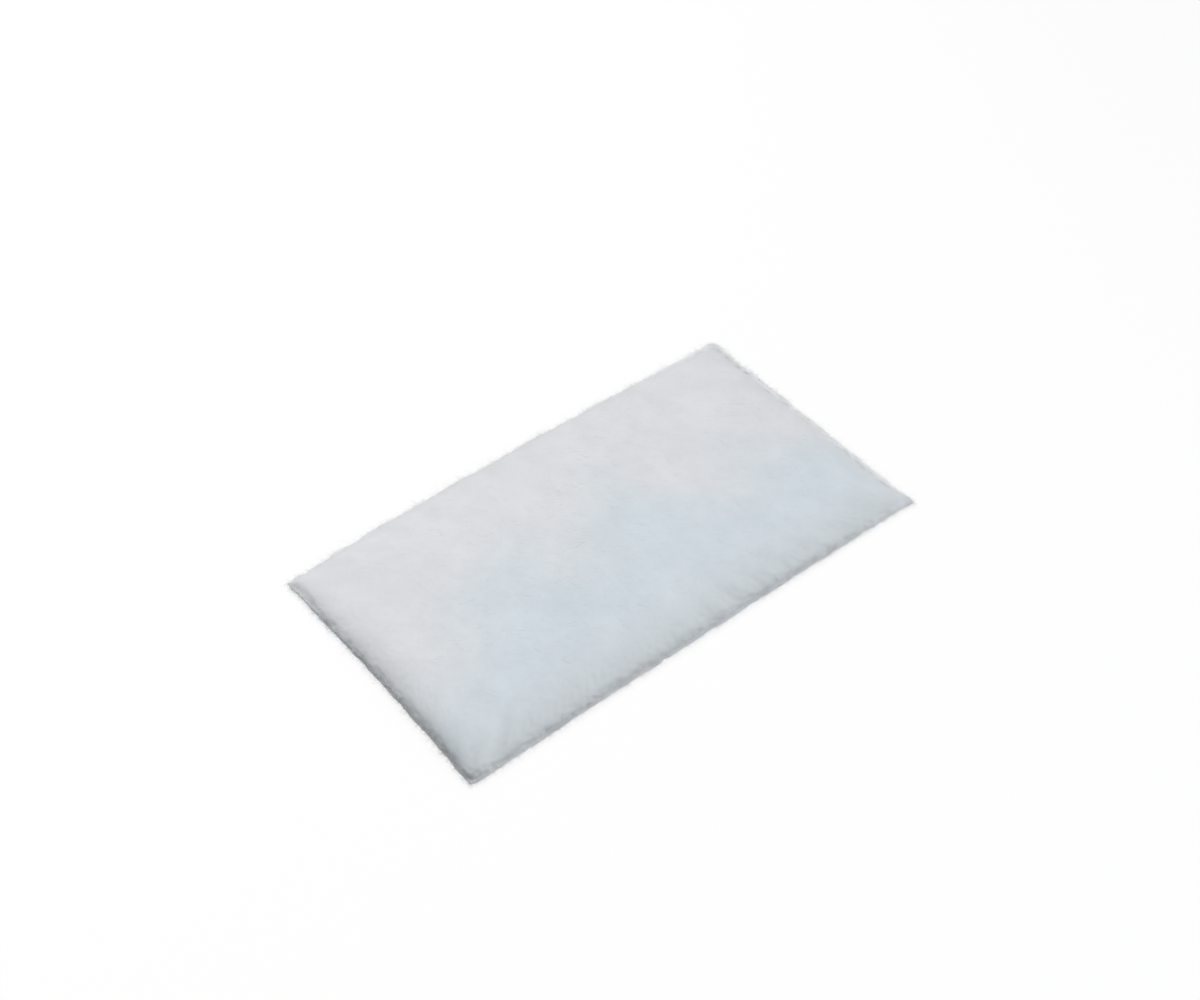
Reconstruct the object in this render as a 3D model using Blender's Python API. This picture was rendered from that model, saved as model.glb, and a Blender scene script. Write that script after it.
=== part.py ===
"""Incubator air filter: one pad of lofty white filter fleece, pressed thin and bonded all round its edge.

Units are metres and +Z is up. The origin is the middle of the flat underside, which the pad rests on.
+X runs along the pad's length and +Y across its width.

The pad is one section carried round a rectangle. From the outside in, the section is a cut edge, a thin bonded
rim, a steep foot, a full round shoulder and a slow crown. The pad is cut out a little off the bond's centre, so
the rim is wider on some sides. The bond draws the loft in, so the body's corners are round and leave small flat
ears on the rim, and the shoulder is gathered in shallow, uneven puckers. The fleece gives, so no side is quite
straight: each bows a little out or in between its corners, and two of the ears flare out past their sides.
"""

import math

import bmesh
import bpy

# Overall size of the cut pad
PAD_LENGTH = 0.190
PAD_WIDTH = 0.106

# Bow of each side: its middle stands out past its corners, or is drawn in where the value is negative
BOW_LEFT = -0.0011
BOW_RIGHT = 0.0002
BOW_FRONT = -0.0005
BOW_BACK = 0.0017

# How far the ears at each side's two ends, the one at lower X or Y first, flare out past it, and their length
EARS_LEFT = (0.0, 0.0014)
EARS_RIGHT = (0.0010, 0.0)
EARS_FRONT = (0.0, 0.0010)
EARS_BACK = (0.0, 0.0)
EAR_LENGTH = 0.0034

# Bonded rim, wider where the cut runs further from the bond
RIM_LEFT = 0.0004
RIM_RIGHT = 0.0030
RIM_FRONT = 0.0004
RIM_BACK = 0.0014
RIM_THICKNESS = 0.0007
RIM_CORNER_RADIUS = 0.0008
CUT_EDGE_ROUND = 0.00015

# The underside rolls up to the rim, which the loft holds a little off the table
RIM_LIFT = 0.0004
UNDERSIDE_ROLL = 0.0060

# Lofty body
SHOULDER_HEIGHT = 0.0051
SHOULDER_REACH = 0.0120
SHOULDER_FULLNESS = 2.2
CROWN_RISE = 0.0007
BODY_CORNER_RADIUS = 0.0042

# The body's foot strays over the rim: share of the rim's width that it takes, in slow and in quick swings
FOOT_STRAY_SLOW = 0.52
FOOT_STRAY_QUICK = 0.22
FOOT_SWINGS_SLOW = 16
FOOT_SWINGS_QUICK = 37
FOOT_PHASE = 4.1
EAR_SHARPNESS = 8

# Puckers: furrows square to the edge, deepest a little inside the foot and shallow where the loft is thin
PUCKER_DEPTH = 0.00048
PUCKER_PITCH = 0.0140
PUCKER_PEAK = 0.0040
PITCH_SWINGS = 5
PITCH_SWING = 1.6
DEPTH_SWINGS = 7

# Loft that the right and the back side lack, most at the foot and fading inwards
THIN_RIGHT = 0.0023
THIN_BACK = 0.0015
THIN_REACH = 0.042

# Soft hollows in the loft: shares of half the length and half the width, then depth and reach
HOLLOWS = (
    (-1.00, 1.00, 0.00060, 0.034),
    (-0.12, 0.02, 0.00040, 0.016),
    (-0.44, -0.05, 0.00040, 0.018),
    (0.07, -0.52, 0.00045, 0.018),
    (0.58, -0.25, 0.00035, 0.022),
    (0.10, 0.52, 0.00025, 0.026),
)

# Facets
FACET = 0.0024
SHOULDER_RINGS = 8
UNDERSIDE_RINGS = 2

FLEECE_COLOUR = (0.70, 0.72, 0.75, 1.0)
FLEECE_ROUGHNESS = 0.95

RIM_TOP = RIM_LIFT + RIM_THICKNESS
PERIMETER = 2.0 * (PAD_LENGTH + PAD_WIDTH)
BODY_MIDDLE = ((RIM_LEFT - RIM_RIGHT) / 2, (RIM_FRONT - RIM_BACK) / 2)
BODY_HALF = ((PAD_LENGTH - RIM_LEFT - RIM_RIGHT) / 2, (PAD_WIDTH - RIM_FRONT - RIM_BACK) / 2)


def clear_scene():
    for old in list(bpy.data.objects):
        bpy.data.objects.remove(old)


def shoulder_rise(depth):
    """Share of the shoulder's height that the body has at a depth inside its foot."""
    share = min(max(depth / SHOULDER_REACH, 0.0), 1.0)
    return (1.0 - (1.0 - share) ** SHOULDER_FULLNESS) ** (1.0 / SHOULDER_FULLNESS)


def crown_rise(x, y):
    """Slow dome over the whole pad, nothing at the sides and full in the middle."""
    along = math.cos(math.pi * x / PAD_LENGTH)
    across = math.cos(math.pi * y / PAD_WIDTH)
    return CROWN_RISE * math.sqrt(max(along, 0.0) * max(across, 0.0))


def lacking_loft(x, y):
    """How much lower the top is at a point, from the thin sides and the hollows."""
    from_right = (PAD_LENGTH / 2 - x) / THIN_REACH
    from_back = (PAD_WIDTH / 2 - y) / THIN_REACH
    drop = THIN_RIGHT * math.exp(-from_right * from_right) + THIN_BACK * math.exp(-from_back * from_back)
    for along, across, depth, reach in HOLLOWS:
        dx = x - along * PAD_LENGTH / 2
        dy = y - across * PAD_WIDTH / 2
        drop += depth * math.exp(-(dx * dx + dy * dy) / (reach * reach))
    return drop


def turn_round(u, v):
    """Share of a full turn, as an angle, that way_round has gone round the cut edge."""
    return 2.0 * math.pi * way_round(u, v) / PERIMETER


def way_round(u, v):
    """Length along the cut edge, from the right side's middle, to where a square point's direction meets it."""
    reach = max(abs(u), abs(v))
    a, b = u / reach, v / reach
    if a >= 1.0:
        return b * PAD_WIDTH / 2
    if b >= 1.0:
        return PAD_WIDTH / 2 + (1.0 - a) * PAD_LENGTH / 2
    if a <= -1.0:
        return PAD_WIDTH / 2 + PAD_LENGTH + (1.0 - b) * PAD_WIDTH / 2
    return 1.5 * PAD_WIDTH + PAD_LENGTH + (1.0 + a) * PAD_LENGTH / 2


def pucker_drop(u, v, depth):
    """Depth of the gathers, whose pitch and depth wander round the pad and which fade away from the bond."""
    turn = turn_round(u, v)
    furrows = max(1, round(PERIMETER / PUCKER_PITCH))
    wander = PITCH_SWING * math.sin(PITCH_SWINGS * turn)
    furrow = 0.5 - 0.5 * math.cos(furrows * turn + wander)
    swell = 0.6 + 0.4 * math.sin(DEPTH_SWINGS * turn + wander)
    window = depth / PUCKER_PEAK * math.exp(1.0 - depth / PUCKER_PEAK)
    return PUCKER_DEPTH * furrow * swell * window


def body_height(u, v, x, y, depth):
    """Height of the top at a depth inside the body's foot."""
    full = SHOULDER_HEIGHT - RIM_TOP
    loft = full + crown_rise(x, y) - lacking_loft(x, y)
    gather = pucker_drop(u, v, depth) if max(abs(u), abs(v)) > 0.0 else 0.0
    return RIM_TOP + loft * shoulder_rise(depth) - gather * (loft / full) ** 2


def drawn_in(bow, ears, place, half_length):
    """How far a side lies inside the pad's box, at a place along it. Its ears or its bow touch the box."""
    straight = half_length - RIM_CORNER_RADIUS
    place = min(max(place, -straight), straight)
    flare = 0.0
    for end, ear in zip((-straight, straight), ears):
        flare += ear * math.exp(-((place - end) / EAR_LENGTH) ** 2)
    return max(bow, *ears) - flare - bow * (1.0 - (place / straight) ** 2)


def bowed(x, y, z):
    """Moves a point of the straight-sided pad in, by as much as the sides that it lies between are drawn in."""
    a, b = x / (PAD_LENGTH / 2), y / (PAD_WIDTH / 2)
    from_left = drawn_in(BOW_LEFT, EARS_LEFT, y, PAD_WIDTH / 2) * (1.0 - a) / 2
    from_right = drawn_in(BOW_RIGHT, EARS_RIGHT, y, PAD_WIDTH / 2) * (1.0 + a) / 2
    from_front = drawn_in(BOW_FRONT, EARS_FRONT, x, PAD_LENGTH / 2) * (1.0 - b) / 2
    from_back = drawn_in(BOW_BACK, EARS_BACK, x, PAD_LENGTH / 2) * (1.0 + b) / 2
    return x + from_left - from_right, y + from_front - from_back, z


def on_outline(u, v, middle, half, radius):
    """Point of a rectangle with round corners, for a border point of the square."""
    x, y = u * half[0], v * half[1]
    over_x = abs(x) - (half[0] - radius)
    over_y = abs(y) - (half[1] - radius)
    if over_x > 0.0 and over_y > 0.0:
        reach = math.hypot(over_x, over_y)
        x = math.copysign(half[0] - radius + radius * over_x / reach, x)
        y = math.copysign(half[1] - radius + radius * over_y / reach, y)
    return middle[0] + x, middle[1] + y


def foot_stray(u, v):
    """Share of the rim's width that the foot strays outwards, which is nothing at the ears."""
    turn = turn_round(u, v)
    slow = FOOT_STRAY_SLOW * (0.5 + 0.5 * math.sin(FOOT_SWINGS_SLOW * turn + FOOT_PHASE))
    quick = FOOT_STRAY_QUICK * (0.5 + 0.5 * math.sin(FOOT_SWINGS_QUICK * turn + FOOT_PHASE))
    return (slow + quick) * (1.0 - min(abs(u), abs(v)) ** EAR_SHARPNESS)


def shoulder_point(u, v, depth):
    """Point of the shoulder, for a border point of the square. Its corners sharpen towards the middle."""
    half = (BODY_HALF[0] - depth, BODY_HALF[1] - depth)
    still_round = 1.0 - depth / SHOULDER_REACH
    x, y = on_outline(u, v, BODY_MIDDLE, half, BODY_CORNER_RADIUS * still_round)
    foot = on_outline(u, v, BODY_MIDDLE, BODY_HALF, BODY_CORNER_RADIUS)
    edge = rim_point(u, v, CUT_EDGE_ROUND, RIM_TOP)
    stray = foot_stray(u, v) * still_round
    x += (edge[0] - foot[0]) * stray
    y += (edge[1] - foot[1]) * stray
    return x, y, body_height(u, v, x, y, depth)


def crown_point(u, v):
    """Point of the top inside the shoulder, for a point of the square."""
    x = BODY_MIDDLE[0] + u * (BODY_HALF[0] - SHOULDER_REACH)
    y = BODY_MIDDLE[1] + v * (BODY_HALF[1] - SHOULDER_REACH)
    depth = SHOULDER_REACH + (1.0 - max(abs(u), abs(v))) * (BODY_HALF[1] - SHOULDER_REACH)
    return x, y, body_height(u, v, x, y, depth)


def rim_point(u, v, inset, height):
    """Point of the rim or the underside, for a border point of the square."""
    half = (PAD_LENGTH / 2 - inset, PAD_WIDTH / 2 - inset)
    x, y = on_outline(u, v, (0.0, 0.0), half, RIM_CORNER_RADIUS)
    return x, y, height


def rim_section():
    """Inset and height of each line of the rim and the underside, from the top of the cut edge on."""
    lines = [
        (CUT_EDGE_ROUND, RIM_TOP),
        (0.0, RIM_TOP - CUT_EDGE_ROUND),
        (0.0, RIM_LIFT + CUT_EDGE_ROUND),
        (CUT_EDGE_ROUND, RIM_LIFT),
    ]
    for step in range(1, UNDERSIDE_RINGS + 1):
        share = step / UNDERSIDE_RINGS
        inset = CUT_EDGE_ROUND + (UNDERSIDE_ROLL - CUT_EDGE_ROUND) * share
        lines.append((inset, RIM_LIFT * (1.0 - share) ** 2))
    return lines


def extrude_border(bm, border):
    """Extrudes the open border where it is, and returns the new border's edges and points."""
    made = bmesh.ops.extrude_edge_only(bm, edges=border)["geom"]
    points = {item for item in made if isinstance(item, bmesh.types.BMVert)}
    edges = [item for item in made if isinstance(item, bmesh.types.BMEdge) and points.issuperset(item.verts)]
    return edges, points


def make_pad_mesh():
    """A square grid grows rings round its border, and then each point moves to its place on the pad."""
    bm = bmesh.new()
    bmesh.ops.create_grid(
        bm,
        x_segments=max(2, round(2 * (BODY_HALF[0] - SHOULDER_REACH) / FACET)),
        y_segments=max(2, round(2 * (BODY_HALF[1] - SHOULDER_REACH) / FACET)),
        size=1.0,
    )
    places = {point: crown_point(point.co.x, point.co.y) for point in bm.verts}
    border = [edge for edge in bm.edges if edge.is_boundary]

    for ring in range(SHOULDER_RINGS - 1, -1, -1):
        depth = SHOULDER_REACH * (ring / SHOULDER_RINGS) ** 2
        border, points = extrude_border(bm, border)
        for point in points:
            places[point] = shoulder_point(point.co.x, point.co.y, depth)

    for inset, height in rim_section():
        border, points = extrude_border(bm, border)
        for point in points:
            places[point] = rim_point(point.co.x, point.co.y, inset, height)

    bmesh.ops.holes_fill(bm, edges=border)
    for point, place in places.items():
        point.co = bowed(*place)
    bmesh.ops.recalc_face_normals(bm, faces=bm.faces)
    mesh = bpy.data.meshes.new("filter_pad")
    bm.to_mesh(mesh)
    bm.free()
    return mesh


def fleece_material():
    material = bpy.data.materials.new("filter_fleece")
    material.use_nodes = True
    shader = material.node_tree.nodes["Principled BSDF"]
    shader.inputs["Base Color"].default_value = FLEECE_COLOUR
    shader.inputs["Roughness"].default_value = FLEECE_ROUGHNESS
    shader.inputs["Metallic"].default_value = 0.0
    return material


def main():
    clear_scene()
    mesh = make_pad_mesh()
    mesh.shade_smooth()
    mesh.set_sharp_from_angle(angle=math.radians(50.0))
    mesh.materials.append(fleece_material())
    pad = bpy.data.objects.new("filter_pad", mesh)
    bpy.context.scene.collection.objects.link(pad)


main()
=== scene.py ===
"""Looks of the incubator air filter: a lofty white fleece pad on a white floor.

Lengths are metres, in the part's own frame: +X along the pad, +Y across it, +Z up from the flat underside.
Where a side has two values, the second is how far inwards the first counts. Only the dents differ.
"""

import math

import bpy
import numpy as np
from mathutils import Matrix, Vector, noise
from mathutils.bvhtree import BVHTree
from mathutils.kdtree import KDTree


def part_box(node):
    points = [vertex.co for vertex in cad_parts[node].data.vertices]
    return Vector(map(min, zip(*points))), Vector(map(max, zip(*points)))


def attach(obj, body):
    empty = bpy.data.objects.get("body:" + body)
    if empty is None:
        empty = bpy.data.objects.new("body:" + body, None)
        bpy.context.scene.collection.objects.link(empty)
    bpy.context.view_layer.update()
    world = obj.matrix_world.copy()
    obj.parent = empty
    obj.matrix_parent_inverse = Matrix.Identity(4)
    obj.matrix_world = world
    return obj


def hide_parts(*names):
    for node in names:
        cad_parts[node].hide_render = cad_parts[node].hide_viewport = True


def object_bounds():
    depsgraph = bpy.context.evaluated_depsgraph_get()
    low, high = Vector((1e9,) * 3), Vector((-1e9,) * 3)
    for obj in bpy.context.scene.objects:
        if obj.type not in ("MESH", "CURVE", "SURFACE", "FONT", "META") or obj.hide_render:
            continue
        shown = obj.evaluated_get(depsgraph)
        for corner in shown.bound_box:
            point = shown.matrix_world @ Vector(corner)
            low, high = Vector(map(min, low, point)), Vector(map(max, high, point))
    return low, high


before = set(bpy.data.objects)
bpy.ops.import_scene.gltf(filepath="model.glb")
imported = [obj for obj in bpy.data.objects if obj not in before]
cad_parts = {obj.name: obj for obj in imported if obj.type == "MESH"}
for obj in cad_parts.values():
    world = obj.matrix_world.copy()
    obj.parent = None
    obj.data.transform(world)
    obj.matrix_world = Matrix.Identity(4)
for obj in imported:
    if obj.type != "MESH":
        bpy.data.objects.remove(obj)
cad_low, cad_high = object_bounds()

NODE = "filter_pad"
SIDES = ("left", "front", "right", "back")
BODY = "root"

# Camera, fitted to the pad's outline in the photograph. Its angles are degrees.
PHOTO_WIDTH = 1200
FOCAL_PIXELS = 1976.9
SENSOR_WIDTH = 36.0
CAMERA_ELEVATION = 47.05
CAMERA_AZIMUTH = -39.68
CAMERA_ROLL = 0.86
CAMERA_DISTANCE = 0.6640
CAMERA_RIGHT = -0.00109
CAMERA_UP = 0.01435
CLIP_START = 0.01

# Mesh of the pad before its one subdivision
CELL = 0.00145
BAND = 0.0125
RIM_RINGS = 3
WALL_RINGS = 15
WALL_CROWDING = 1.35
UNDER_RINGS = 4
SECTION_STEPS = 160
FOOT_RISE = 0.00012
CUT_ROUND = 0.00015

# Rays that find the solid: start above or below it, and for the cut edge how far outside and how high
RAY_START = 0.1
RAY_OUTSIDE = 1.05
EDGE_HEIGHT = 0.00075

# How far the values of neighbouring sides blend at a corner, and the directions out of the sides
SIDE_BLEND = 0.006
OUTWARDS = ((-1.0, 0.0), (0.0, -1.0), (1.0, 0.0), (0.0, 1.0))
OUTWARDS_BLEND = 0.002
TINY = 1e-9

# How far each side's cut edge is worn back at most, in waves round a mean, and how much more at the left ear
WORN = {
    "left": (0.00025, 0.004),
    "front": (0.00025, 0.004),
    "right": (0.00050, 0.004),
    "back": (0.00120, 0.004),
}
WORN_WAVES = (0.0085, 0.0040)
WORN_MEAN = 0.5
WORN_SWING = 0.85
LEFT_EAR_WORN = 0.0013
LEFT_EAR_REACH = 0.0095

# Cloth pass that gathers the skin beside the bond: how slack each side is held, and how far it may move
CLOTH_FRAMES = 20
CLOTH_CAP = 0.0003
CLOTH_SLACK = {"left": (0.6, 0.012), "front": (0.7, 0.012), "right": (0.3, 0.012), "back": (0.2, 0.012)}
CLOTH_FREEDOM = 0.97
SKIN_GROWTH = 0.012
CLOTH_SETTINGS = {
    "quality": 6,
    "mass": 0.05,
    "tension_stiffness": 20.0,
    "compression_stiffness": 20.0,
    "shear_stiffness": 8.0,
    "bending_stiffness": 0.5,
    "shrink_min": -SKIN_GROWTH,
    "pin_stiffness": 2.0,
}

# Uneven loft of the web: wavelength and height of each layer, and the shift between layers
LOFT_LAYERS = ((0.0130, 0.00012), (0.0052, 0.00006), (0.0021, 0.00003))
LAYER_SHIFT = (3.1, 7.7, 1.3)

# Share of that loft on the bonded rim, and the height from which the rim has it in full
RIM_SHARE = 0.35
RIM_FULL = 0.001

# Tufts of the cut edge: sizes, how far those of each side swing outwards, and how far inwards they reach
TUFT_SIZES = (0.0018, 0.0046)
TUFT_SWING = {"left": 0.00024, "front": 0.00026, "right": 0.00052, "back": 0.00045}
TUFT_REACH = 0.0012

# Dents of the bond line in irregular dashes: for each side their strength and distance from the cut edge. The
# dents are also darkened with painted shade.
DENT_LINE = {"left": (1.0, 0.0009), "front": (1.0, 0.0009), "right": (0.9, 0.0019), "back": (0.3, 0.0014)}
DENT_HALF_WIDTH = 0.0009
DENT_SIZE = 0.0024
DENT_DEPTH = 0.00022
DENT_SHADE = 0.55
DASH_MEAN = 0.15
DASH_SWING = 1.8
UNDERSIDE_TOP = 0.0006

# Tones of the fleece: the web; its bluer, darker near half, partly painted shade; the grey of the bond,
# partly painted shade beside it; and the pale edge, partly the fray and partly painted light
WEB_LIGHT = (0.740, 0.745, 0.777)
WEB_DARK = (0.696, 0.702, 0.733)
# Bluer, darker tone of the near half, partly painted shade
COOL_LIGHT = (0.668, 0.724, 0.770)
COOL_DARK = (0.622, 0.678, 0.725)
# Grey of the pressed bond, also used as painted shade on the walls and shoulders and in the dents
BOND_GREY_AND_SHADE = (0.575, 0.583, 0.597)
# Pale edge: partly the fray, partly painted light standing in for light through the thin fleece
PALE_FRAY_AND_LIGHT = (0.87, 0.88, 0.90)

# Height at which the lofty body starts over the bonded rim, and the rise over which it has fully started
BOND_TOP = 0.0013
BOND_RISE = 0.0012

# How far the pale edge tone, partly painted light, reaches inwards, and how far it is held off the tips of
# the ears
FRAY_AND_LIGHT_REACH = 0.0022
EAR_REACH = 0.005

# How grey each side is beside the bond and how far inwards that fades, with patches in that grey. This grey
# is partly the pressed bond's own and partly painted shade on the walls and shoulders.
BOND_AND_SHADE_TONE = {
    "left": (0.90, 0.0050),
    "front": (0.68, 0.0110),
    "right": (0.65, 0.0070),
    "back": (0.1, 0.0030),
}
PATCH_SIZE = 0.0035
PATCH_SHARE = 0.45

# Rim beside the left ear: how much paler, with less of the painted shade, and flatter, how far that reaches,
# and how far inwards it is flatter
LEFT_EAR_PALER = 1.0
LEFT_EAR_FLATTER = 0.6
LEFT_EAR_AREA = 0.020
LEFT_EAR_INWARDS = 0.0017

# How pale the edge of each side is, partly from the fray and partly painted light for light through the thin
# edge
FRAY_AND_LIGHT_TONE = {"left": (0.9, 0.008), "front": (1.0, 0.008), "right": (1.0, 0.008), "back": (1.0, 0.008)}

# Bluer, darker tone of the near half, partly painted shade where less lamp light falls: its share on a line
# along the pad, how it fades across, bows at the ends, and clouds
COOL_SHARE = 0.55
COOL_LINE = 0.006
COOL_FADE = 0.030
COOL_BOW = 0.6
COOL_BOW_REACH = 0.075
COOL_CLOUDS = 0.8
COOL_CLOUD_SIZE = 0.030

# Tubes of all fibres: sides, angle that rounds off their ends, and a direction that no fibre follows
FIBRE_SIDES = 3
FIBRE_END_ANGLE = 0.25
FIBRE_SIDEWAYS = (0.13, 0.31, 0.94)

# Fibres on the top: how many, points on each, margin, bend, lengths, lift, dip at the ends, and radii
SURFACE_FIBRES = 7400
SURFACE_FIBRE_POINTS = 5
SURFACE_MARGIN = 0.002
SURFACE_BEND = 0.9
SURFACE_LENGTHS = (0.004, 0.012)
SURFACE_LIFTS = (0.0, 0.00003)
SURFACE_DIP = 0.00004
SURFACE_RADII = (0.000008, 0.000013)

# Painted light on loose fibres: a whiter colour, and how far it takes over from the web's
LOOSE_PAINTED_LIGHT_COLOUR = (0.95, 0.96, 0.98)
LOOSE_PAINTED_LIGHT_SHARE = 0.65

# Loose ends: how many, points on each, how far inwards their roots spread, lengths and radii
EDGE_FIBRES = (4500, 5, 0.0012, (0.0008, 0.0034), (0.000012, 0.000020))
EDGE_FUZZ = (9500, 4, 0.0004, (0.0004, 0.0017), (0.000018, 0.000030))
LOOSE_SHARE = {"left": (0.7, 0.008), "front": (1.0, 0.008), "right": (0.8, 0.008), "back": (0.25, 0.008)}
LOOSE_INSET = 0.0001
LOOSE_SWERVE = 0.9
LOOSE_RISES = (-0.1, 0.5)
LOOSE_DROOP = 0.6
LOOSE_CURL = 0.5
LOOSE_LOWEST = 0.00008

# Depth of a loose end's root under the top: anywhere in the cut side, or just under the skin further in
CUT_SIDE = 0.0004
ROOT_LEAST = 0.00005
ROOT_DEEP = 0.0006
ROOT_SHALLOW = 0.0001

# Finish of the fleece
FLEECE_ROUGHNESS = 0.95
FLEECE_SHEEN = 0.15
FLEECE_SHEEN_ROUGHNESS = 0.6
FLEECE_SPECULAR = 0.15

# Clouds in its colour, and where in them it is wholly dark and wholly light
CLOUD_SCALE = 95.0
CLOUD_DETAIL = 5.0
CLOUD_DARK = 0.3
CLOUD_LIGHT = 0.7

# Fine strands in its relief, which cross at these turns
STRAND_TURNS = (0.2, 1.1, 1.9, 2.8)
STRAND_STRETCH = (260.0, 4200.0, 1500.0)
STRAND_DETAIL = 2.0
STRAND_DISTORTION = 0.6
BUMP_STRENGTH = 0.6
WEB_BUMP = 0.00012
LOOSE_BUMP = 0.00001

# Floor: half its size, its colour for bounced light, and how far it is plain white to the camera
FLOOR_HALF = 4.0
FLOOR_CORNERS = ((-1.0, -1.0), (1.0, -1.0), (1.0, 1.0), (-1.0, 1.0))
FLOOR_BOUNCE = (0.3, 0.3, 0.3, 1.0)
FLOOR_WHITE = 0.88

# Lamps: place, point that each faces, size, power and colour. The world's light adds to them.
BACK_SOFTBOX = ((0.58, 0.79, 1.26), (-0.97, 1.04, 1.06), 0.6, 41.2, (1.0, 0.98, 0.955))
FRONT_FILL = ((0.45, -0.95, 0.42), (0.0, 0.0, 0.0), 0.6, 5.0, (0.93, 0.97, 1.0))
WORLD_COLOUR = (0.94, 0.99, 1.0, 1.0)
WORLD_STRENGTH = 0.36

RANDOM = np.random.default_rng(11)


def look_direction(azimuth, elevation):
    """Unit vector from the object towards a viewer at an azimuth and elevation in degrees."""
    a, e = math.radians(azimuth), math.radians(elevation)
    return Vector((math.sin(a) * math.cos(e), -math.cos(a) * math.cos(e), math.sin(e)))


def add_camera():
    back = look_direction(CAMERA_AZIMUTH, CAMERA_ELEVATION)
    turn = math.radians(CAMERA_AZIMUTH)
    level = Vector((math.cos(turn), math.sin(turn), 0.0))
    roll = Matrix.Rotation(math.radians(CAMERA_ROLL), 3, back)
    right = roll @ level
    up = roll @ back.cross(level)
    data = bpy.data.cameras.new("camera")
    data.sensor_width = SENSOR_WIDTH
    data.lens = SENSOR_WIDTH * FOCAL_PIXELS / PHOTO_WIDTH
    data.clip_start = CLIP_START
    camera = link("camera", data)
    axes = Matrix((right, up, back)).transposed().to_4x4()
    place = back * CAMERA_DISTANCE + right * CAMERA_RIGHT + up * CAMERA_UP
    camera.matrix_world = Matrix.Translation(place) @ axes
    bpy.context.scene.camera = camera


def search_tree(obj):
    """Search tree of an object's mesh."""
    return BVHTree.FromPolygons([v.co for v in obj.data.vertices], [p.vertices for p in obj.data.polygons])


def height_at(tree, x, y, from_above=True):
    """Height of the surface over or under a point of the floor."""
    start = RAY_START if from_above else -RAY_START
    hit = tree.ray_cast(Vector((x, y, start)), Vector((0.0, 0.0, -math.copysign(1.0, start))))[0]
    return hit.z if hit is not None else math.nan


def square_border(cells_x, cells_y):
    """Grid indices of the border of the square, anticlockwise."""
    south = [(i, 0) for i in range(cells_x)]
    east = [(cells_x, j) for j in range(cells_y)]
    north = [(i, cells_y) for i in range(cells_x, 0, -1)]
    west = [(0, j) for j in range(cells_y, 0, -1)]
    return south + east + north + west


def cut_outline(tree, outside, inside):
    """Points of the worn cut edge seen from above, on lines from outside the pad to its inside."""
    edge, ways = [], []
    for start, end in zip(outside, inside):
        way = Vector((*(end - start), 0.0)).normalized()
        edge.append(tree.ray_cast(Vector((*start, EDGE_HEIGHT)), way)[0])
        ways.append(way)
    edge = np.array(edge)
    swing = sum(noise_at(edge, wave) for wave in WORN_WAVES) * WORN_SWING
    wear = beside_sides(edge, WORN) * np.clip(WORN_MEAN + swing, 0.0, 1.0)
    to_left_ear = np.hypot(edge[:, 0] - edge[:, 0].min(), edge[:, 1] - edge[edge[:, 0].argmin(), 1])
    wear += LEFT_EAR_WORN * np.exp(-((to_left_ear / LEFT_EAR_REACH) ** 2))
    return (edge + np.array(ways) * wear[:, None])[:, :2]


def section_rings(tree, outer, inner):
    """Rings of points on the top from the cut edge to the middle grid, crowded at the foot of the wall."""
    steps = np.linspace(0.0, 1.0, SECTION_STEPS)
    rings = []
    for start, end in zip(outer, inner):
        line = start + steps[:, None] * (end - start)
        heights = np.array([height_at(tree, x, y) for x, y in line])
        foot = int(np.argmax(heights > heights[1] + FOOT_RISE))
        run = np.hypot(np.linalg.norm(np.diff(line, axis=0), axis=1), np.diff(heights))
        way = np.concatenate([[0.0], np.cumsum(run)])
        rim = way[foot] * np.arange(RIM_RINGS) / RIM_RINGS
        crowded = (np.arange(WALL_RINGS) / WALL_RINGS) ** WALL_CROWDING
        wall = way[foot] + (way[-1] - way[foot]) * crowded
        shares = np.interp(np.concatenate([rim, wall]), way, steps)
        spots = start + shares[:, None] * (end - start)
        rings.append(np.column_stack([spots, np.interp(shares, steps, heights)]))
    return np.array(rings).transpose(1, 0, 2)


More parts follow.
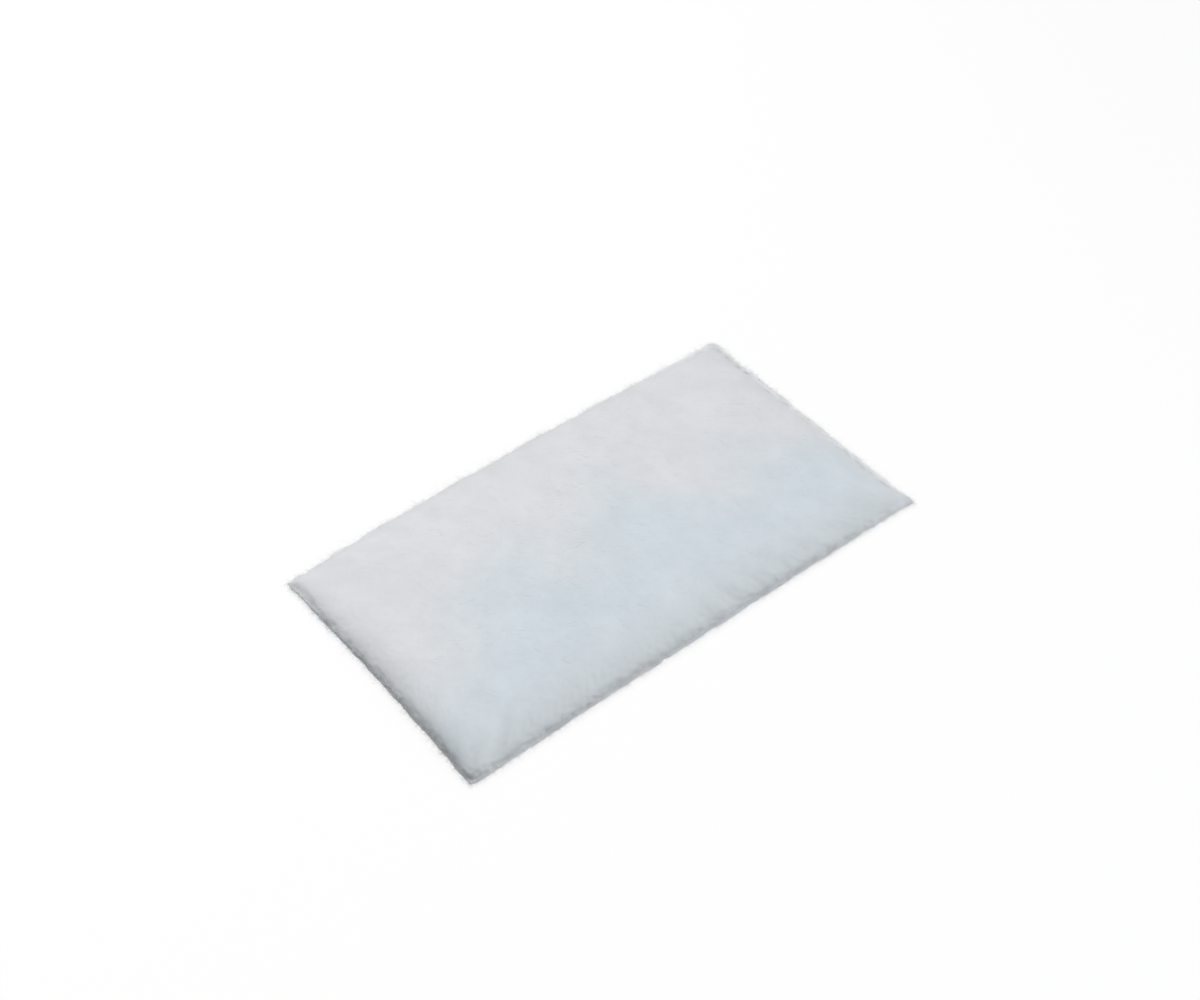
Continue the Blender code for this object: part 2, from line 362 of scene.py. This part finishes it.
def pad_mesh(tree, low, high):
    """Mesh traced over the solid: a grid on top, rings down to the edge and under, and a grid below."""
    half = np.array([(high.x - low.x) / 2, (high.y - low.y) / 2])
    cells_x = round(2 * (half[0] - BAND) / CELL)
    cells_y = round(2 * (half[1] - BAND) / CELL)
    us = np.linspace(-1.0, 1.0, cells_x + 1)
    vs = np.linspace(-1.0, 1.0, cells_y + 1)
    border = square_border(cells_x, cells_y)
    square = np.array([(us[i], vs[j]) for i, j in border])
    inner = square * (half - BAND)
    cut = cut_outline(tree, square * half * RAY_OUTSIDE, inner)
    outer = cut + CUT_ROUND * (inner - cut) / np.linalg.norm(inner - cut, axis=1, keepdims=True)

    points, faces, rings = [], [], []

    def add_grid(from_above):
        first = len(points)
        for v in vs:
            for u in us:
                x, y = u * (half[0] - BAND), v * (half[1] - BAND)
                points.append((x, y, height_at(tree, x, y, from_above)))

        def index(i, j):
            return first + j * (cells_x + 1) + i

        for j in range(cells_y):
            for i in range(cells_x):
                quad = (index(i, j), index(i + 1, j), index(i + 1, j + 1), index(i, j + 1))
                faces.append(quad if from_above else quad[::-1])
        return [index(i, j) for i, j in border]

    def add_ring(ring):
        rings.append(list(range(len(points), len(points) + len(ring))))
        points.extend(map(tuple, ring))

    rings.append(add_grid(True))
    for ring in section_rings(tree, outer, inner)[::-1]:
        add_ring(ring)
    edge_top = np.array([height_at(tree, x, y) for x, y in outer])
    edge_bottom = np.array([height_at(tree, x, y, False) for x, y in outer])
    add_ring(np.column_stack([cut, edge_top - CUT_ROUND]))
    add_ring(np.column_stack([cut, edge_bottom + CUT_ROUND]))
    for step in range(UNDER_RINGS):
        ring = outer + (inner - outer) * (step / UNDER_RINGS)
        add_ring(np.column_stack([ring, [height_at(tree, x, y, False) for x, y in ring]]))
    rings.append(add_grid(False))

    count = len(border)
    for near, far in zip(rings, rings[1:]):
        for k in range(count):
            n = (k + 1) % count
            faces.append((near[k], far[k], far[n], near[n]))
    mesh = bpy.data.meshes.new("fleece_pad")
    mesh.from_pydata(points, [], faces)
    mesh.validate()
    return mesh, cut


def link(name, data):
    """New object in the scene."""
    obj = bpy.data.objects.new(name, data)
    bpy.context.scene.collection.objects.link(obj)
    return obj


def coordinates(mesh):
    flat = np.empty(len(mesh.vertices) * 3, np.float32)
    mesh.vertices.foreach_get("co", flat)
    return flat.reshape(-1, 3).astype(float)


def set_coordinates(mesh, points):
    mesh.vertices.foreach_set("co", points.astype(np.float32).ravel())
    mesh.update()


def normals(mesh):
    flat = np.empty(len(mesh.vertices) * 3, np.float32)
    mesh.vertices.foreach_get("normal", flat)
    return flat.reshape(-1, 3).astype(float)


def noise_at(points, wavelength):
    """Smooth noise between about -1 and 1 at each point."""
    return np.array([noise.noise(Vector(spot)) for spot in points / wavelength])


def edge_depth(points, cut):
    """Distance of each point from the cut edge, seen from above."""
    following = np.roll(cut, -1, axis=0)
    spots = np.concatenate([cut + share * (following - cut) for share in (0.0, 0.25, 0.5, 0.75)])
    tree = KDTree(len(spots))
    for index, (x, y) in enumerate(spots):
        tree.insert((x, y, 0.0), index)
    tree.balance()
    return np.array([tree.find((x, y, 0.0))[2] for x, y, _ in points])


def evaluated_mesh(obj):
    """The object's mesh as its modifiers leave it."""
    graph = bpy.context.evaluated_depsgraph_get()
    return bpy.data.meshes.new_from_object(obj.evaluated_get(graph))


def rise_over_rim(points):
    """How far each point stands above the sealed rim, from 0 on the rim and underside to 1 on the body."""
    return np.clip((points[:, 2] - BOND_TOP) / BOND_RISE, 0.0, 1.0)


def to_sides(points):
    """Distance of each point from each side of the solid's box, in the order of SIDES."""
    return np.stack([
        points[:, 0] - cad_low.x,
        points[:, 1] - cad_low.y,
        cad_high.x - points[:, 0],
        cad_high.y - points[:, 1],
    ])


def beside_sides(points, shares):
    """Share that fades inwards from each side of the pad, by that side's own strength and reach."""
    fades = []
    for side, distance in zip(SIDES, to_sides(points)):
        strength, reach = shares[side]
        fades.append(strength * np.exp(-((distance / reach) ** 2)))
    return np.max(fades, axis=0)


def by_side(points, values, blend=SIDE_BLEND):
    """Value of the nearest side at each point, blended at the corners. Values are in the order of SIDES."""
    distances = to_sides(points)
    weights = np.exp(-(distances - distances.min(axis=0)) / blend)
    return (weights / weights.sum(axis=0)).T @ np.array(values)


def beside_left_ear(points):
    """Share that fades away from the left ear, which is the corner of the left side and the back."""
    to_ear = np.hypot(points[:, 0] - cad_low.x, points[:, 1] - cad_high.y)
    return np.exp(-((to_ear / LEFT_EAR_AREA) ** 2))


def outwards(points):
    """Level unit vector at each point, out of the pad across the nearest side."""
    way = by_side(points, OUTWARDS, OUTWARDS_BLEND)
    way /= np.maximum(np.linalg.norm(way, axis=1, keepdims=True), TINY)
    return np.column_stack([way, np.zeros(len(points))])


def bond_dents(points, depth):
    """How much each point lies in a dent of the bond line, in irregular dashes."""
    line = by_side(points, [DENT_LINE[side] for side in SIDES])
    across = np.exp(-(((depth - line[:, 1]) / DENT_HALF_WIDTH) ** 2))
    dashes = np.clip(DASH_MEAN + DASH_SWING * noise_at(points, DENT_SIZE), 0.0, 1.0)
    return line[:, 0] * across * dashes * (points[:, 2] > UNDERSIDE_TOP)


def gather_as_cloth(pad):
    """Lets the skin grow a little as cloth held at the bond, so that it gathers there."""
    start = coordinates(pad.data)
    body = rise_over_rim(start)
    slack = CLOTH_FREEDOM * beside_sides(start, CLOTH_SLACK) * body
    hold = np.where(body > 0.0, 1.0 - slack, 1.0)
    group = pad.vertex_groups.new(name="hold")
    for index, weight in enumerate(hold):
        group.add([index], float(weight), "REPLACE")
    cloth = pad.modifiers.new("cloth", "CLOTH")
    for setting, value in CLOTH_SETTINGS.items():
        setattr(cloth.settings, setting, value)
    cloth.settings.vertex_group_mass = group.name
    cloth.settings.effector_weights.gravity = 0.0
    cloth.collision_settings.use_collision = False
    cloth.point_cache.frame_end = CLOTH_FRAMES
    scene = bpy.context.scene
    for step in range(1, CLOTH_FRAMES + 1):
        scene.frame_set(step)
    moved = coordinates(evaluated_mesh(pad)) - start
    pad.modifiers.clear()
    pad.vertex_groups.clear()
    scene.frame_set(1)
    length = np.linalg.norm(moved, axis=1, keepdims=True)
    moved *= np.minimum(1.0, CLOTH_CAP / np.maximum(length, TINY))
    set_coordinates(pad.data, start + moved * (hold < 1.0)[:, None])


def subdivide(pad):
    pad.modifiers.new("finer", "SUBSURF").levels = 1
    pad.data = evaluated_mesh(pad)
    pad.modifiers.clear()


def uneven_loft(points):
    """Height of the web's own lumps at each point."""
    total = np.zeros(len(points))
    for layer, (wavelength, height) in enumerate(LOFT_LAYERS):
        shift = np.array(LAYER_SHIFT) * layer * wavelength
        total += height * noise_at(points + shift, wavelength)
    return total


def loft_surface(pad, cut):
    """Moves the skin by its lumps, dents the bond line, tufts the cut edge and flattens the left ear."""
    points = coordinates(pad.data)
    depth = edge_depth(points, cut)
    body = rise_over_rim(points)
    share = RIM_SHARE * np.clip(points[:, 2] / RIM_FULL, 0.0, 1.0) * (1.0 - body) + body
    rise = uneven_loft(points) * share - DENT_DEPTH * bond_dents(points, depth)
    tufts = by_side(points, [TUFT_SWING[side] for side in SIDES]) * np.exp(-((depth / TUFT_REACH) ** 2))
    tufts *= sum(noise_at(points * (1.0, 1.0, 0.0), size) for size in TUFT_SIZES)
    moved = points + normals(pad.data) * rise[:, None] + outwards(points) * tufts[:, None]
    flatter = LEFT_EAR_FLATTER * beside_left_ear(points) * np.exp(-((depth / LEFT_EAR_INWARDS) ** 2))
    moved[:, 2] = np.maximum(moved[:, 2], 0.0) * (1.0 - flatter)
    set_coordinates(pad.data, moved)


def add_tone(mesh, name, values):
    tone = mesh.attributes.new(name, "FLOAT", "POINT")
    tone.data.foreach_set("value", np.clip(values, 0.0, 1.0).astype(np.float32))


def add_tones(mesh, cut):
    """How much each point has of the tones: the bond's own grey with painted shade beside it and in its
    dents, the fray's pale edge with painted light, and the bluer near half, partly painted shade.
    """
    points = coordinates(mesh)
    depth = edge_depth(points, cut)
    patches = 1.0 + PATCH_SHARE * noise_at(points, PATCH_SIZE)
    # Painted shade in the dents of the bond line
    dents = DENT_SHADE * bond_dents(points, depth)
    # Painted shade: grey beside the bond, fading inwards over the walls and shoulders, with the bond's own
    # grey and the shade in its dents
    grey = beside_sides(points, BOND_AND_SHADE_TONE) * patches + dents
    add_tone(mesh, "bond_grey_and_painted_shade", grey * (1.0 - LEFT_EAR_PALER * beside_left_ear(points)))
    to_corner = np.hypot(cad_high.x - np.abs(points[:, 0]), cad_high.y - np.abs(points[:, 1]))
    off_ears = 1.0 - np.exp(-((to_corner / EAR_REACH) ** 2))
    # Painted light: the edge paler where light would shine through the thin fleece, with the fray, less the
    # shade of the dents
    fray = (1.0 - depth / FRAY_AND_LIGHT_REACH - dents) * beside_sides(points, FRAY_AND_LIGHT_TONE)
    add_tone(mesh, "fray_and_edge_light", fray * (1.0 - rise_over_rim(points)) * off_ears)
    # Painted shade: the near half bluer and darker where less lamp light falls, in clouds
    near = COOL_SHARE - (points[:, 1] - COOL_LINE) / COOL_FADE
    near -= COOL_BOW * (points[:, 0] / COOL_BOW_REACH) ** 2
    add_tone(mesh, "cool_tone_and_shade", near + COOL_CLOUDS * noise_at(points, COOL_CLOUD_SIZE))


def fibre_tubes(name, paths, radii):
    """One mesh of thin closed tubes. paths holds the same number of points for each fibre."""
    count, length, _ = paths.shape
    along = np.gradient(paths, axis=1)
    along /= np.linalg.norm(along, axis=2, keepdims=True)
    side = np.cross(along, np.array(FIBRE_SIDEWAYS))
    side /= np.linalg.norm(side, axis=2, keepdims=True)
    up = np.cross(side, along)
    taper = np.sin(np.linspace(FIBRE_END_ANGLE, math.pi - FIBRE_END_ANGLE, length)) ** 0.5
    angles = 2.0 * math.pi * np.arange(FIBRE_SIDES) / FIBRE_SIDES
    size = radii[:, None, None] * taper[None, :, None]
    loops = [paths + size * (math.cos(a) * side + math.sin(a) * up) for a in angles]
    points = np.stack(loops, axis=2).reshape(-1, 3)
    k = np.arange(FIBRE_SIDES)
    n = (k + 1) % FIBRE_SIDES
    first = FIBRE_SIDES * np.arange(length - 1)[:, None]
    ahead = first + FIBRE_SIDES
    walls = np.stack([first + k, first + n, ahead + n, ahead + k], axis=2).reshape(-1, 4)
    starts = FIBRE_SIDES * length * np.arange(count)
    quads = (starts[:, None, None] + walls).reshape(-1, 4)
    caps_low = starts[:, None] + k[::-1]
    caps_high = starts[:, None] + FIBRE_SIDES * (length - 1) + k
    mesh = bpy.data.meshes.new(name)
    mesh.from_pydata(points.tolist(), [], quads.tolist() + caps_low.tolist() + caps_high.tolist())
    mesh.shade_smooth()
    return link(name, mesh)


def surface_fibres(tree):
    """Fibres that lie on the top in slack curves and dip back into it at both ends."""
    half_x, half_y = cad_high.x - SURFACE_MARGIN, cad_high.y - SURFACE_MARGIN
    steps = np.linspace(-0.5, 0.5, SURFACE_FIBRE_POINTS)
    paths, radii = [], []
    for _ in range(SURFACE_FIBRES):
        x = RANDOM.uniform(-half_x, half_x)
        y = RANDOM.uniform(-half_y, half_y)
        heading = RANDOM.uniform(0.0, math.pi)
        bend = RANDOM.normal(0.0, SURFACE_BEND)
        length = RANDOM.uniform(*SURFACE_LENGTHS)
        lift = RANDOM.uniform(*SURFACE_LIFTS)
        turn = heading + bend * steps * 2.0
        dx = np.cumsum(np.cos(turn)) * length / SURFACE_FIBRE_POINTS
        dy = np.cumsum(np.sin(turn)) * length / SURFACE_FIBRE_POINTS
        xs = x + dx - dx.mean()
        ys = y + dy - dy.mean()
        if np.abs(xs).max() > half_x or np.abs(ys).max() > half_y:
            continue
        arch = np.cos(math.pi * steps) * (lift + SURFACE_DIP) - SURFACE_DIP
        zs = np.array([height_at(tree, a, b) for a, b in zip(xs, ys)]) + arch
        if np.isnan(zs).any():
            continue
        paths.append(np.column_stack([xs, ys, zs]))
        radii.append(RANDOM.uniform(*SURFACE_RADII))
    return fibre_tubes("surface_fibres", np.array(paths), np.array(radii))


def loose_ends(name, tree, cut, kind):
    """Fibre ends of one kind that stand out of the wall, the rim and the cut edge."""
    count, points, spread, lengths, thickness = kind
    steps = np.linspace(0.0, 1.0, points)
    paths, radii = [], []
    following = np.roll(cut, -1, axis=0)
    likely = beside_sides(cut, LOOSE_SHARE) * np.linalg.norm(following - cut, axis=1)
    for k in RANDOM.choice(len(cut), count, p=likely / likely.sum()):
        origin = cut[k] + RANDOM.uniform() * (following[k] - cut[k])
        along = (following[k] - cut[k]) / np.linalg.norm(following[k] - cut[k])
        out = np.array([along[1], -along[0]])
        depth = abs(RANDOM.normal(0.0, spread)) + LOOSE_INSET
        root = origin - out * depth
        top = height_at(tree, root[0], root[1])
        if math.isnan(top):
            continue
        z = top - RANDOM.uniform(ROOT_LEAST, ROOT_DEEP if depth < CUT_SIDE else ROOT_SHALLOW)
        heading = RANDOM.normal(0.0, LOOSE_SWERVE)
        flat = out * math.cos(heading) + along * math.sin(heading)
        length = RANDOM.uniform(*lengths)
        rise = RANDOM.uniform(*LOOSE_RISES) * length
        curl = RANDOM.normal(0.0, LOOSE_CURL) * length
        spots = root + np.outer(steps * length, flat) + np.outer(steps ** 2 * curl, [-flat[1], flat[0]])
        zs = np.maximum(z + rise * steps * (1.0 - LOOSE_DROOP * steps), LOOSE_LOWEST)
        paths.append(np.column_stack([spots, zs]))
        radii.append(RANDOM.uniform(*thickness))
    return fibre_tubes(name, np.array(paths), np.array(radii))


def node(tree, kind, **values):
    """New node of a material or of the world, with settings."""
    made = tree.nodes.new(kind)
    for name, value in values.items():
        setattr(made, name, value)
    return made


def highest_of(tree, first, second):
    """The higher of two values."""
    highest = node(tree, "ShaderNodeMath", operation="MAXIMUM")
    tree.links.new(first, highest.inputs[0])
    tree.links.new(second, highest.inputs[1])
    return highest.outputs["Value"]


def clouded(tree, clouds, light, dark):
    """Colour that goes from dark to light with the clouds."""
    ramp = node(tree, "ShaderNodeValToRGB")
    ramp.color_ramp.elements[0].position = CLOUD_DARK
    ramp.color_ramp.elements[0].color = (*dark, 1.0)
    ramp.color_ramp.elements[1].position = CLOUD_LIGHT
    ramp.color_ramp.elements[1].color = (*light, 1.0)
    tree.links.new(clouds.outputs["Fac"], ramp.inputs["Fac"])
    return ramp.outputs["Color"]


def blended(tree, tone, first, second):
    """Colour from the first to the second by a tone of the mesh. The second may be a plain colour."""
    share = node(tree, "ShaderNodeAttribute", attribute_name=tone)
    mix = node(tree, "ShaderNodeMix", data_type="RGBA")
    tree.links.new(share.outputs["Fac"], mix.inputs["Factor"])
    tree.links.new(first, mix.inputs[6])
    if isinstance(second, tuple):
        mix.inputs[7].default_value = (*second, 1.0)
    else:
        tree.links.new(second, mix.inputs[7])
    return mix.outputs[2]


def fleece_material(name, bump_depth, painted_light_share=0.0):
    """Matt fleece: cloudy white with the painted shade and painted light of the mesh's tones, made whiter by
    a share as painted light, with fine crossing strands in relief.
    """
    material = bpy.data.materials.new(name)
    material.use_nodes = True
    tree = material.node_tree
    shader = tree.nodes["Principled BSDF"]
    shader.inputs["Roughness"].default_value = FLEECE_ROUGHNESS
    shader.inputs["Sheen Weight"].default_value = FLEECE_SHEEN
    shader.inputs["Sheen Roughness"].default_value = FLEECE_SHEEN_ROUGHNESS
    shader.inputs["Specular IOR Level"].default_value = FLEECE_SPECULAR
    where = node(tree, "ShaderNodeTexCoord")

    clouds = node(tree, "ShaderNodeTexNoise")
    clouds.inputs["Scale"].default_value = CLOUD_SCALE
    clouds.inputs["Detail"].default_value = CLOUD_DETAIL
    tree.links.new(where.outputs["Object"], clouds.inputs["Vector"])
    web = clouded(tree, clouds, WEB_LIGHT, WEB_DARK)
    cool_tone_and_shade = clouded(tree, clouds, COOL_LIGHT, COOL_DARK)
    # Painted shade from the bluer near half and from the grey beside the bond, and painted light at the pale
    # edge
    colour = blended(tree, "bond_grey_and_painted_shade", blended(tree, "cool_tone_and_shade", web, cool_tone_and_shade), BOND_GREY_AND_SHADE)
    colour = blended(tree, "fray_and_edge_light", colour, PALE_FRAY_AND_LIGHT)
    # Painted light: whiter by the given share
    whiter = node(tree, "ShaderNodeMix", data_type="RGBA")
    whiter.inputs["Factor"].default_value = painted_light_share
    whiter.inputs[7].default_value = (*LOOSE_PAINTED_LIGHT_COLOUR, 1.0)
    tree.links.new(colour, whiter.inputs[6])
    tree.links.new(whiter.outputs[2], shader.inputs["Base Color"])

    relief = None
    for turn in STRAND_TURNS:
        place = node(tree, "ShaderNodeMapping")
        place.inputs["Rotation"].default_value = (0.0, 0.0, turn)
        place.inputs["Scale"].default_value = STRAND_STRETCH
        strands = node(tree, "ShaderNodeTexNoise")
        strands.inputs["Scale"].default_value = 1.0
        strands.inputs["Detail"].default_value = STRAND_DETAIL
        strands.inputs["Distortion"].default_value = STRAND_DISTORTION
        tree.links.new(where.outputs["Object"], place.inputs["Vector"])
        tree.links.new(place.outputs["Vector"], strands.inputs["Vector"])
        if relief is None:
            relief = strands.outputs["Fac"]
        else:
            relief = highest_of(tree, relief, strands.outputs["Fac"])
    bump = node(tree, "ShaderNodeBump")
    bump.inputs["Strength"].default_value = BUMP_STRENGTH
    bump.inputs["Distance"].default_value = bump_depth
    tree.links.new(relief, bump.inputs["Height"])
    tree.links.new(bump.outputs["Normal"], shader.inputs["Normal"])
    return material


def white_for_camera(tree, shader_socket, surface, share):
    """Shows plain white to the camera and in reflections, mixed over the lit surface."""
    path = node(tree, "ShaderNodeLightPath")
    seen = path.outputs["Is Camera Ray"]
    for name in ("Is Glossy Ray", "Is Transmission Ray"):
        seen = highest_of(tree, seen, path.outputs[name])
    part = node(tree, "ShaderNodeMath", operation="MULTIPLY")
    part.inputs[1].default_value = share
    tree.links.new(seen, part.inputs[0])
    white = node(tree, "ShaderNodeEmission")
    white.inputs["Strength"].default_value = 1.0
    mix = node(tree, "ShaderNodeMixShader")
    tree.links.new(part.outputs["Value"], mix.inputs["Fac"])
    tree.links.new(shader_socket, mix.inputs[1])
    tree.links.new(white.outputs["Emission"], mix.inputs[2])
    tree.links.new(mix.outputs["Shader"], surface)


def add_floor():
    """Floor, white to the camera with a faint shadow, and grey for the light that bounces off it."""
    corners = [(x * FLOOR_HALF, y * FLOOR_HALF, 0.0) for x, y in FLOOR_CORNERS]
    mesh = bpy.data.meshes.new("floor")
    mesh.from_pydata(corners, [], [(0, 1, 2, 3)])
    floor = link("floor", mesh)
    material = bpy.data.materials.new("floor_white")
    material.use_nodes = True
    tree = material.node_tree
    tree.nodes.remove(tree.nodes["Principled BSDF"])
    around = node(tree, "ShaderNodeBsdfDiffuse")
    around.inputs["Color"].default_value = FLOOR_BOUNCE
    viewed = node(tree, "ShaderNodeBsdfDiffuse")
    viewed.inputs["Color"].default_value = (1.0, 1.0, 1.0, 1.0)
    path = node(tree, "ShaderNodeLightPath")
    lit = node(tree, "ShaderNodeMixShader")
    tree.links.new(path.outputs["Is Camera Ray"], lit.inputs["Fac"])
    tree.links.new(around.outputs["BSDF"], lit.inputs[1])
    tree.links.new(viewed.outputs["BSDF"], lit.inputs[2])
    output = tree.nodes["Material Output"]
    white_for_camera(tree, lit.outputs["Shader"], output.inputs["Surface"], FLOOR_WHITE)
    mesh.materials.append(material)


def add_lamp(name, place, faces, size, power, colour):
    """Round soft lamp at a place, facing a point."""
    data = bpy.data.lights.new(name, "AREA")
    data.shape = "DISK"
    data.size = size
    data.energy = power
    data.color = colour
    lamp = link(name, data)
    turn = (Vector(place) - Vector(faces)).to_track_quat("Z", "Y")
    lamp.matrix_world = Matrix.Translation(place) @ turn.to_matrix().to_4x4()


def add_light():
    add_lamp("back_softbox", *BACK_SOFTBOX)
    add_lamp("front_fill", *FRONT_FILL)
    world = bpy.data.worlds.new("studio")
    bpy.context.scene.world = world
    world.use_nodes = True
    tree = world.node_tree
    ambient = tree.nodes["Background"]
    ambient.inputs["Color"].default_value = WORLD_COLOUR
    ambient.inputs["Strength"].default_value = WORLD_STRENGTH
    output = tree.nodes["World Output"]
    white_for_camera(tree, ambient.outputs["Background"], output.inputs["Surface"], 1.0)


def dress(piece, material, cut):
    """Gives a piece its tones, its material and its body."""
    add_tones(piece.data, cut)
    piece.data.materials.clear()
    piece.data.materials.append(material)
    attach(piece, BODY)


def build():
    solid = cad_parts[NODE]
    low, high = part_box(NODE)
    mesh, cut = pad_mesh(search_tree(solid), low, high)
    pad = link("fleece_pad", mesh)
    gather_as_cloth(pad)
    subdivide(pad)
    loft_surface(pad, cut)
    pad.data.shade_smooth()
    tree = search_tree(pad)
    web = fleece_material("web", WEB_BUMP)
    # The loose fibres are made whiter as painted light
    loose = fleece_material("loose_fibre_painted_light", LOOSE_BUMP, painted_light_share=LOOSE_PAINTED_LIGHT_SHARE)
    dress(pad, web, cut)
    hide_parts(NODE)
    dress(surface_fibres(tree), loose, cut)
    dress(loose_ends("edge_fibres", tree, cut, EDGE_FIBRES), loose, cut)
    dress(loose_ends("edge_fuzz", tree, cut, EDGE_FUZZ), loose, cut)


bpy.context.scene.view_settings.view_transform = "Standard"
add_camera()
add_floor()
add_light()
build()
